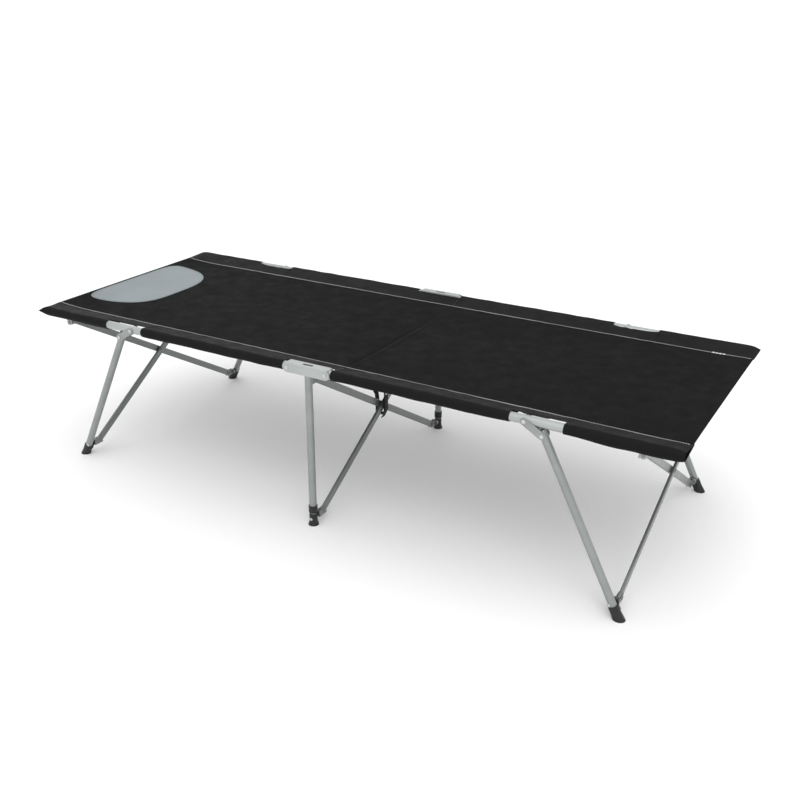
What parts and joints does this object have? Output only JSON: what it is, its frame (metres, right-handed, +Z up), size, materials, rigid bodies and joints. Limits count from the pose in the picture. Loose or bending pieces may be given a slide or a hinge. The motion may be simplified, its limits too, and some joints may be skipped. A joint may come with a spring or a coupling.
{
  "type": "folding cot",
  "caption": "Folding camp cot: a fabric bed on hinged rails, with end legs, telescoping centre legs and crossed bars that fold into a narrow bundle.",
  "frame": {"origin": "centre of the bed on the ground", "axes": "+X along the bed away from the pillow pad, +Y to the rear rail, +Z up"},
  "size_m": [1.9, 0.74, 0.459],
  "materials": {
    "bracket": "satin",
    "frame": "satin",
    "rivet": "bright",
    "black_plastic": "matte",
    "charcoal_cloth": "woven",
    "pad_cloth": "satin",
    "webbing": "woven"
  },
  "bodies": {
    "front_centre": {"front_centre_bracket": "bracket", "front_middle_leg": "frame", "front_collar": "black_plastic", "front_hinge_rivets": "rivet", "front_middle_yoke": "frame", "bed_centre": "charcoal_cloth"},
    "rear_centre": {"rear_centre_bracket": "bracket", "rear_middle_leg": "frame", "rear_collar": "black_plastic", "rear_hinge_rivets": "rivet", "rear_middle_yoke": "frame"},
    "front_mid_foot": {"front_inner_leg": "frame", "front_middle_foot": "black_plastic", "front_middle_shoe": "frame"},
    "rear_mid_foot": {"rear_inner_leg": "frame", "rear_middle_foot": "black_plastic", "rear_middle_shoe": "frame"},
    "middle_bar_b": {"middle_bar_b": "frame", "strap": "webbing"},
    "middle_bar_a": {"middle_bar_a": "frame"},
    "front_left_rail": {"front_left_rail": "frame", "front_left_sleeve": "charcoal_cloth", "bed_left": "charcoal_cloth", "pillow_pad": "pad_cloth"},
    "front_left_leg": {"front_left_leg": "frame", "front_left_ear": "bracket", "front_left_leg_rivets": "rivet", "front_left_foot": "black_plastic"},
    "front_left_yoke": {"front_left_yoke": "frame"},
    "front_left_shoe": {"front_left_shoe": "frame"},
    "rear_left_rail": {"rear_left_rail": "frame", "rear_left_sleeve": "charcoal_cloth"},
    "rear_left_leg": {"rear_left_leg": "frame", "rear_left_ear": "bracket", "rear_left_leg_rivets": "rivet", "rear_left_foot": "black_plastic"},
    "rear_left_yoke": {"rear_left_yoke": "frame"},
    "rear_left_shoe": {"rear_left_shoe": "frame"},
    "left_bar_b": {"left_bar_b": "frame"},
    "left_bar_a": {"left_bar_a": "frame"},
    "front_right_rail": {"front_right_rail": "frame", "front_right_sleeve": "charcoal_cloth", "bed_right": "charcoal_cloth"},
    "front_right_leg": {"front_right_leg": "frame", "front_right_ear": "bracket", "front_right_leg_rivets": "rivet", "front_right_foot": "black_plastic"},
    "front_right_yoke": {"front_right_yoke": "frame"},
    "front_right_shoe": {"front_right_shoe": "frame"},
    "rear_right_rail": {"rear_right_rail": "frame", "rear_right_sleeve": "charcoal_cloth"},
    "rear_right_leg": {"rear_right_leg": "frame", "rear_right_ear": "bracket", "rear_right_leg_rivets": "rivet", "rear_right_foot": "black_plastic"},
    "rear_right_yoke": {"rear_right_yoke": "frame"},
    "rear_right_shoe": {"rear_right_shoe": "frame"},
    "right_bar_b": {"right_bar_b": "frame"},
    "right_bar_a": {"right_bar_a": "frame"}
  },
  "joints": [
    {"name": "fold", "type": "hinge", "parent": "front_centre", "child": "middle_bar_b", "pos_m": [-0.0045, -0.31928, 0.41], "axis": [-1, 0, 0], "range_deg": [0, 53.95], "deforming": ["bed_left", "bed_centre", "bed_right", "pillow_pad", "strap"]},
    {"name": "middle_cross", "type": "hinge", "parent": "middle_bar_b", "child": "middle_bar_a", "pos_m": [0, 0, 0.2178], "axis": [1, 0, 0], "range_deg": [0, 107.91]},
    {"name": "rear_middle_top", "type": "hinge", "parent": "middle_bar_a", "child": "rear_centre", "pos_m": [0.0045, 0.31928, 0.41], "axis": [-1, 0, 0], "range_deg": [0, 53.95]},
    {"name": "front_middle_bottom", "type": "hinge", "parent": "middle_bar_a", "child": "front_mid_foot", "pos_m": [0.0045, -0.31928, 0.0256], "axis": [-1, 0, 0], "range_deg": [0, 53.95]},
    {"name": "rear_middle_bottom", "type": "hinge", "parent": "middle_bar_b", "child": "rear_mid_foot", "pos_m": [-0.0045, 0.31928, 0.0256], "axis": [1, 0, 0], "range_deg": [0, 53.95]},
    {"name": "front_left_rail_hinge", "type": "hinge", "parent": "front_centre", "child": "front_left_rail", "pos_m": [-0.058, -0.3555, 0.446], "axis": [0, -1, 0], "range_deg": [0, 60]},
    {"name": "front_left_leg_hinge", "type": "hinge", "parent": "front_left_rail", "child": "front_left_leg", "pos_m": [-0.5925, -0.3555, 0.446], "axis": [0, -1, 0], "range_deg": [0, 116.8]},
    {"name": "front_left_yoke_hinge", "type": "hinge", "parent": "front_left_rail", "child": "front_left_yoke", "pos_m": [-0.86, -0.3555, 0.418], "axis": [0, -1, 0], "range_deg": [0, 85.77]},
    {"name": "rear_left_rail_hinge", "type": "hinge", "parent": "rear_centre", "child": "rear_left_rail", "pos_m": [-0.058, 0.3555, 0.446], "axis": [0, -1, 0], "range_deg": [0, 60]},
    {"name": "rear_left_leg_hinge", "type": "hinge", "parent": "rear_left_rail", "child": "rear_left_leg", "pos_m": [-0.5925, 0.3555, 0.446], "axis": [0, -1, 0], "range_deg": [0, 116.8]},
    {"name": "rear_left_yoke_hinge", "type": "hinge", "parent": "rear_left_rail", "child": "rear_left_yoke", "pos_m": [-0.86, 0.3555, 0.418], "axis": [0, -1, 0], "range_deg": [0, 85.77]},
    {"name": "left_top", "type": "hinge", "parent": "front_left_yoke", "child": "left_bar_b", "pos_m": [-0.86449, -0.31928, 0.41767], "axis": [-0.9973, 0, -0.0737], "range_deg": [0, 53.95]},
    {"name": "left_cross", "type": "hinge", "parent": "left_bar_b", "child": "left_bar_a", "pos_m": [-0.84583, 0, 0.22632], "axis": [0.9973, 0, 0.0737], "range_deg": [0, 107.91]},
    {"name": "front_left_bottom", "type": "hinge", "parent": "left_bar_a", "child": "front_left_shoe", "pos_m": [-0.82717, -0.31928, 0.03498], "axis": [-0.9973, 0, -0.0737], "range_deg": [0, 53.95]},
    {"name": "rear_left_bottom", "type": "hinge", "parent": "left_bar_b", "child": "rear_left_shoe", "pos_m": [-0.83615, 0.31928, 0.03431], "axis": [0.9973, 0, 0.0737], "range_deg": [0, 53.95]},
    {"name": "front_right_rail_hinge", "type": "hinge", "parent": "front_centre", "child": "front_right_rail", "pos_m": [0.058, -0.3555, 0.446], "axis": [0, 1, 0], "range_deg": [0, 60]},
    {"name": "front_right_leg_hinge", "type": "hinge", "parent": "front_right_rail", "child": "front_right_leg", "pos_m": [0.5925, -0.3555, 0.446], "axis": [0, 1, 0], "range_deg": [0, 116.8]},
    {"name": "front_right_yoke_hinge", "type": "hinge", "parent": "front_right_rail", "child": "front_right_yoke", "pos_m": [0.86, -0.3555, 0.418], "axis": [0, 1, 0], "range_deg": [0, 85.77]},
    {"name": "rear_right_rail_hinge", "type": "hinge", "parent": "rear_centre", "child": "rear_right_rail", "pos_m": [0.058, 0.3555, 0.446], "axis": [0, 1, 0], "range_deg": [0, 60]},
    {"name": "rear_right_leg_hinge", "type": "hinge", "parent": "rear_right_rail", "child": "rear_right_leg", "pos_m": [0.5925, 0.3555, 0.446], "axis": [0, 1, 0], "range_deg": [0, 116.8]},
    {"name": "rear_right_yoke_hinge", "type": "hinge", "parent": "rear_right_rail", "child": "rear_right_yoke", "pos_m": [0.86, 0.3555, 0.418], "axis": [0, 1, 0], "range_deg": [0, 85.77]},
    {"name": "right_top", "type": "hinge", "parent": "front_right_yoke", "child": "right_bar_b", "pos_m": [0.85551, -0.31928, 0.41833], "axis": [-0.9973, 0, 0.0737], "range_deg": [0, 53.95]},
    {"name": "right_cross", "type": "hinge", "parent": "right_bar_b", "child": "right_bar_a", "pos_m": [0.84583, 0, 0.22632], "axis": [0.9973, 0, -0.0737], "range_deg": [0, 107.91]},
    {"name": "front_right_bottom", "type": "hinge", "parent": "right_bar_a", "child": "front_right_shoe", "pos_m": [0.83615, -0.31928, 0.03431], "axis": [-0.9973, 0, 0.0737], "range_deg": [0, 53.95]},
    {"name": "rear_right_bottom", "type": "hinge", "parent": "right_bar_b", "child": "rear_right_shoe", "pos_m": [0.82717, 0.31928, 0.03498], "axis": [0.9973, 0, -0.0737], "range_deg": [0, 53.95]}
  ],
  "couplings": [
    {"joint": "middle_cross", "follows": "fold", "ratio": 2},
    {"joint": "rear_middle_top", "follows": "fold", "ratio": 1},
    {"joint": "front_middle_bottom", "follows": "fold", "ratio": 1},
    {"joint": "rear_middle_bottom", "follows": "fold", "ratio": 1},
    {"joint": "front_left_leg_hinge", "follows": "fold", "ratio": 2.1648},
    {"joint": "front_left_yoke_hinge", "follows": "fold", "ratio": 1.5898},
    {"joint": "rear_left_rail_hinge", "follows": "front_left_rail_hinge", "ratio": 1},
    {"joint": "rear_left_leg_hinge", "follows": "fold", "ratio": 2.1648},
    {"joint": "rear_left_yoke_hinge", "follows": "fold", "ratio": 1.5898},
    {"joint": "left_top", "follows": "fold", "ratio": 1},
    {"joint": "left_cross", "follows": "fold", "ratio": 2},
    {"joint": "front_left_bottom", "follows": "fold", "ratio": 1},
    {"joint": "rear_left_bottom", "follows": "fold", "ratio": 1},
    {"joint": "front_right_leg_hinge", "follows": "fold", "ratio": 2.1648},
    {"joint": "front_right_yoke_hinge", "follows": "fold", "ratio": 1.5898},
    {"joint": "rear_right_rail_hinge", "follows": "front_right_rail_hinge", "ratio": 1},
    {"joint": "rear_right_leg_hinge", "follows": "fold", "ratio": 2.1648},
    {"joint": "rear_right_yoke_hinge", "follows": "fold", "ratio": 1.5898},
    {"joint": "right_top", "follows": "fold", "ratio": 1},
    {"joint": "right_cross", "follows": "fold", "ratio": 2},
    {"joint": "front_right_bottom", "follows": "fold", "ratio": 1},
    {"joint": "rear_right_bottom", "follows": "fold", "ratio": 1}
  ]
}
